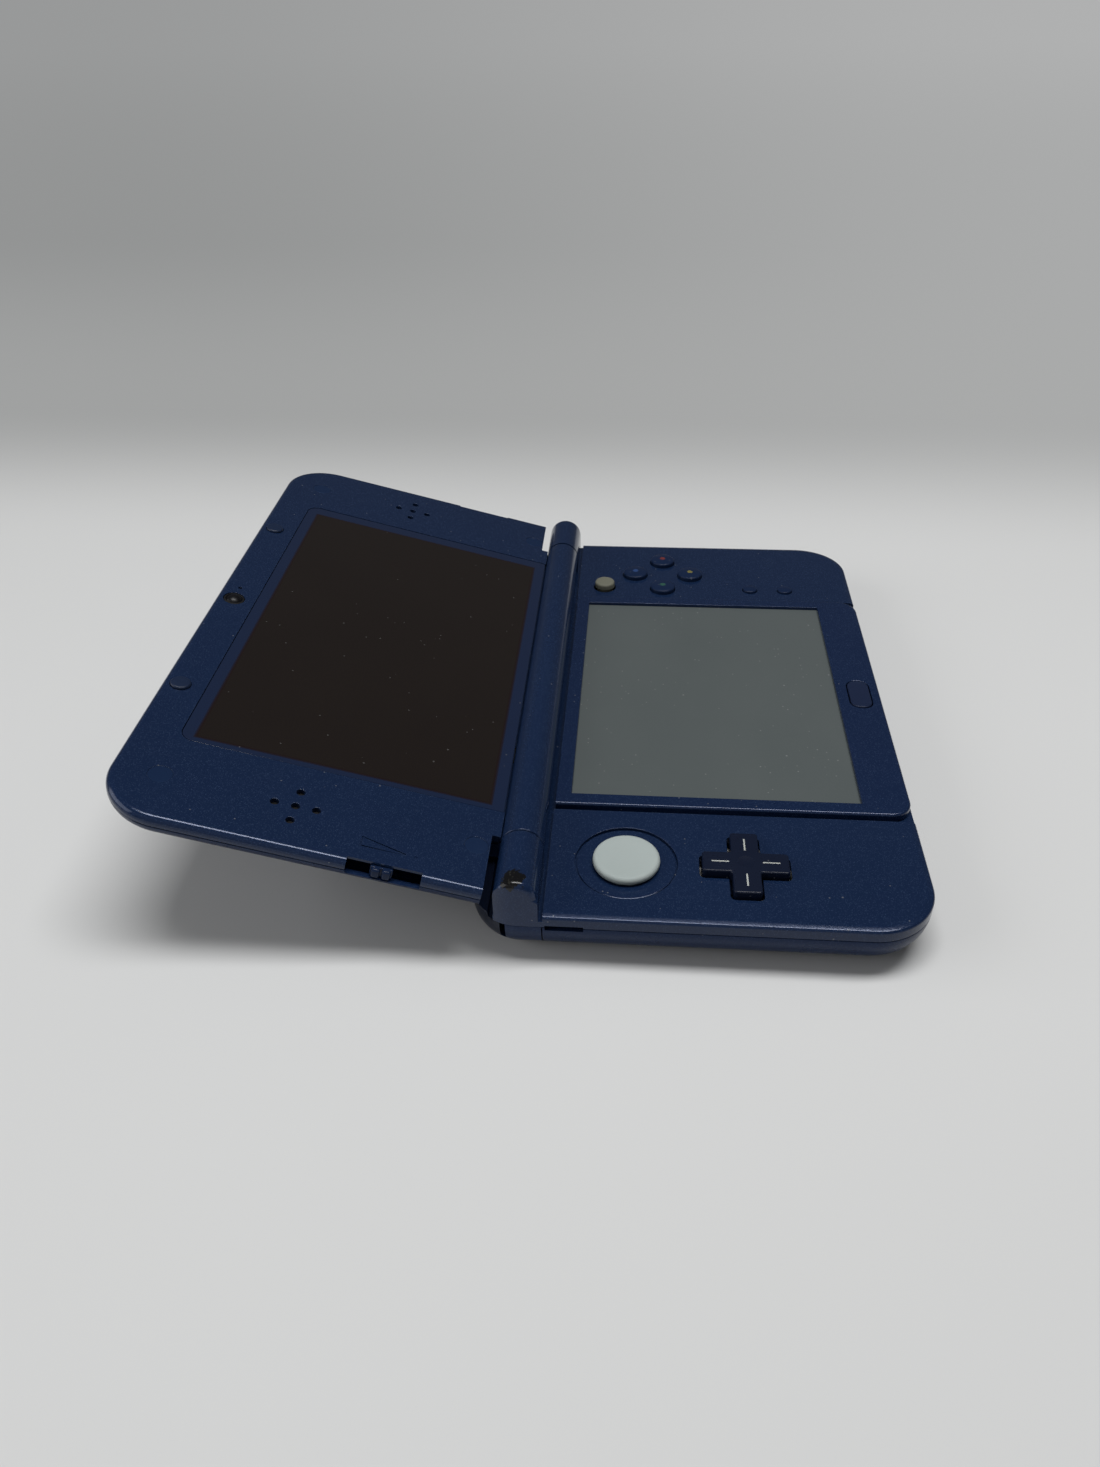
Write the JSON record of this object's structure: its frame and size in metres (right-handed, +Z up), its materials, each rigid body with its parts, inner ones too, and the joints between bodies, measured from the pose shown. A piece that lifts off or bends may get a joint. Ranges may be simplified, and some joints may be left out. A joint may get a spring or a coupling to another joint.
{
  "type": "clamshell handheld game console",
  "caption": "Folding handheld game console lying open, with a wide upper screen in the lid and a touch screen, pad, cross pad and buttons in the base.",
  "frame": {"origin": "centre of the base's underside, on the table it lies on", "axes": "+Z up, +Y from the player's edge of the base towards the hinge and the open lid, +X to the player's right"},
  "size_m": [0.16, 0.1653, 0.0376],
  "materials": {
    "blue_shell": "metallic navy lacquer, satin on the flat faces",
    "blue_keys": "dark navy satin",
    "dark_plastic": "black, fine grain",
    "white_plastic": "natural white",
    "pale_grip": "soft pale grey",
    "tan_grip": "soft tan grey",
    "bumper_rubber": "dark navy",
    "silicone": "translucent grey",
    "touch_film": "satin grey film",
    "lower_picture": "unlit",
    "lens": "clear over a dark screen",
    "upper_picture": "unlit black",
    "smoked_window": "polished smoked black",
    "light_guide": "clear, unlit",
    "circuit_board": "green solder mask",
    "battery_case": "grey",
    "steel": "plain",
    "ribbon": "amber film"
  },
  "bodies": {
    "base": {"base_upper_case": "blue_shell", "touch_bezel": "blue_shell", "base_lower_case": "blue_shell", "bottom_cover": "blue_shell", "cover_screws": "steel", "case_screws": "steel", "touch_panel": "touch_film", "lower_display": "lower_picture", "main_board": "circuit_board", "battery": "battery_case", "card_slot": "steel", "memory_card_socket": "steel", "charging_socket": "dark_plastic", "headphone_socket": "dark_plastic", "wireless_module": "circuit_board", "infrared_window": "smoked_window", "status_lights": "light_guide", "circle_pad_ring": "blue_shell", "circle_pad_housing": "dark_plastic", "key_membranes": "silicone", "pointing_nub": "tan_grip", "nub_sensor": "dark_plastic", "shoulder_pins": "steel", "hinge_clutch": "steel", "hinge_bushing": "steel"},
    "lid": {"hinge_barrel": "blue_shell", "display_cable": "ribbon", "lid_inner_frame": "blue_shell", "lid_outer_cover": "blue_shell", "screen_lens": "lens", "upper_display": "upper_picture", "left_speaker": "dark_plastic", "right_speaker": "dark_plastic", "inner_camera": "smoked_window", "outer_cameras": "smoked_window", "lid_bumpers": "bumper_rubber", "screw_covers": "blue_shell", "lid_screws": "steel"},
    "pad_carriage": {"circle_pad_carriage": "white_plastic"},
    "pad_cap": {"circle_pad_slider": "white_plastic", "circle_pad_cap": "pale_grip"},
    "cross_pivot": {"dpad_pivot": "dark_plastic"},
    "cross_pad": {"dpad": "blue_keys"},
    "button_right": {"face_button_right": "blue_keys"},
    "button_front": {"face_button_front": "blue_keys"},
    "button_rear": {"face_button_rear": "blue_keys"},
    "button_left": {"face_button_left": "blue_keys"},
    "start": {"start_button": "blue_keys"},
    "select": {"select_button": "blue_keys"},
    "home": {"home_button": "blue_keys"},
    "power": {"power_button": "blue_keys"},
    "shoulder_left": {"left_shoulder_button": "blue_shell"},
    "shoulder_right": {"right_shoulder_button": "blue_shell"},
    "trigger_left": {"left_trigger": "blue_keys"},
    "trigger_right": {"right_trigger": "blue_keys"},
    "volume_knob": {"volume_slider": "blue_keys"},
    "depth_knob": {"depth_slider": "blue_keys"},
    "stylus": {"stylus": "dark_plastic"}
  },
  "joints": [
    {"name": "lid_hinge", "type": "hinge", "parent": "base", "child": "lid", "pos_m": [0, 0.037, 0.0164], "axis": [1, 0, 0], "range_deg": [0, 165.8]},
    {"name": "circle_pad_sideways", "type": "slide", "parent": "base", "child": "pad_carriage", "axis": [1, 0, 0], "range_m": [-0.0022, 0.0022], "stiffness_N_per_m": 100},
    {"name": "circle_pad_forward", "type": "slide", "parent": "pad_carriage", "child": "pad_cap", "axis": [0, 1, 0], "range_m": [-0.0022, 0.0022], "stiffness_N_per_m": 100},
    {"name": "cross_pad_sideways", "type": "hinge", "parent": "base", "child": "cross_pivot", "pos_m": [-0.0635, -0.0091, 0.0102], "axis": [0, 1, 0], "range_deg": [-2.4, 2.4], "stiffness_Nm_per_rad": 0.2},
    {"name": "cross_pad_forward", "type": "hinge", "parent": "cross_pivot", "child": "cross_pad", "pos_m": [-0.0635, -0.0091, 0.0102], "axis": [1, 0, 0], "range_deg": [-2.4, 2.4], "stiffness_Nm_per_rad": 0.2},
    {"name": "button_right_press", "type": "slide", "parent": "base", "child": "button_right", "axis": [0, 0, -1], "range_m": [0, 0.0009], "stiffness_N_per_m": 150, "springref_m": -0.002},
    {"name": "button_front_press", "type": "slide", "parent": "base", "child": "button_front", "axis": [0, 0, -1], "range_m": [0, 0.0009], "stiffness_N_per_m": 150, "springref_m": -0.002},
    {"name": "button_rear_press", "type": "slide", "parent": "base", "child": "button_rear", "axis": [0, 0, -1], "range_m": [0, 0.0009], "stiffness_N_per_m": 150, "springref_m": -0.002},
    {"name": "button_left_press", "type": "slide", "parent": "base", "child": "button_left", "axis": [0, 0, -1], "range_m": [0, 0.0009], "stiffness_N_per_m": 150, "springref_m": -0.002},
    {"name": "start_press", "type": "slide", "parent": "base", "child": "start", "axis": [0, 0, -1], "range_m": [0, 0.0006], "stiffness_N_per_m": 150, "springref_m": -0.002},
    {"name": "select_press", "type": "slide", "parent": "base", "child": "select", "axis": [0, 0, -1], "range_m": [0, 0.0006], "stiffness_N_per_m": 150, "springref_m": -0.002},
    {"name": "home_press", "type": "slide", "parent": "base", "child": "home", "axis": [0, 0, -1], "range_m": [0, 0.0005], "stiffness_N_per_m": 150, "springref_m": -0.002},
    {"name": "power_press", "type": "slide", "parent": "base", "child": "power", "axis": [0, 1, 0], "range_m": [0, 0.0005], "stiffness_N_per_m": 200, "springref_m": -0.002},
    {"name": "shoulder_left_press", "type": "hinge", "parent": "base", "child": "shoulder_left", "pos_m": [-0.0565, 0.04325, 0.0075], "axis": [0, 0, 1], "range_deg": [0, 2.4], "stiffness_Nm_per_rad": 0.5, "springref_deg": -1.72},
    {"name": "shoulder_right_press", "type": "hinge", "parent": "base", "child": "shoulder_right", "pos_m": [0.0565, 0.04325, 0.0075], "axis": [0, 0, -1], "range_deg": [0, 2.4], "stiffness_Nm_per_rad": 0.5, "springref_deg": -1.72},
    {"name": "trigger_left_press", "type": "slide", "parent": "base", "child": "trigger_left", "axis": [0, -1, 0], "range_m": [0, 0.0008], "stiffness_N_per_m": 200, "springref_m": -0.002},
    {"name": "trigger_right_press", "type": "slide", "parent": "base", "child": "trigger_right", "axis": [0, -1, 0], "range_m": [0, 0.0008], "stiffness_N_per_m": 200, "springref_m": -0.002},
    {"name": "volume_slide", "type": "slide", "parent": "lid", "child": "volume_knob", "axis": [0, 0.9694, 0.2453], "range_m": [-0.0053, 0.0042]},
    {"name": "depth_slide", "type": "slide", "parent": "lid", "child": "depth_knob", "axis": [0, 0.9694, 0.2453], "range_m": [-0.0007, 0.0089]},
    {"name": "stylus_pull", "type": "slide", "parent": "base", "child": "stylus", "axis": [0, -1, 0], "range_m": [0, 0.086]}
  ]
}
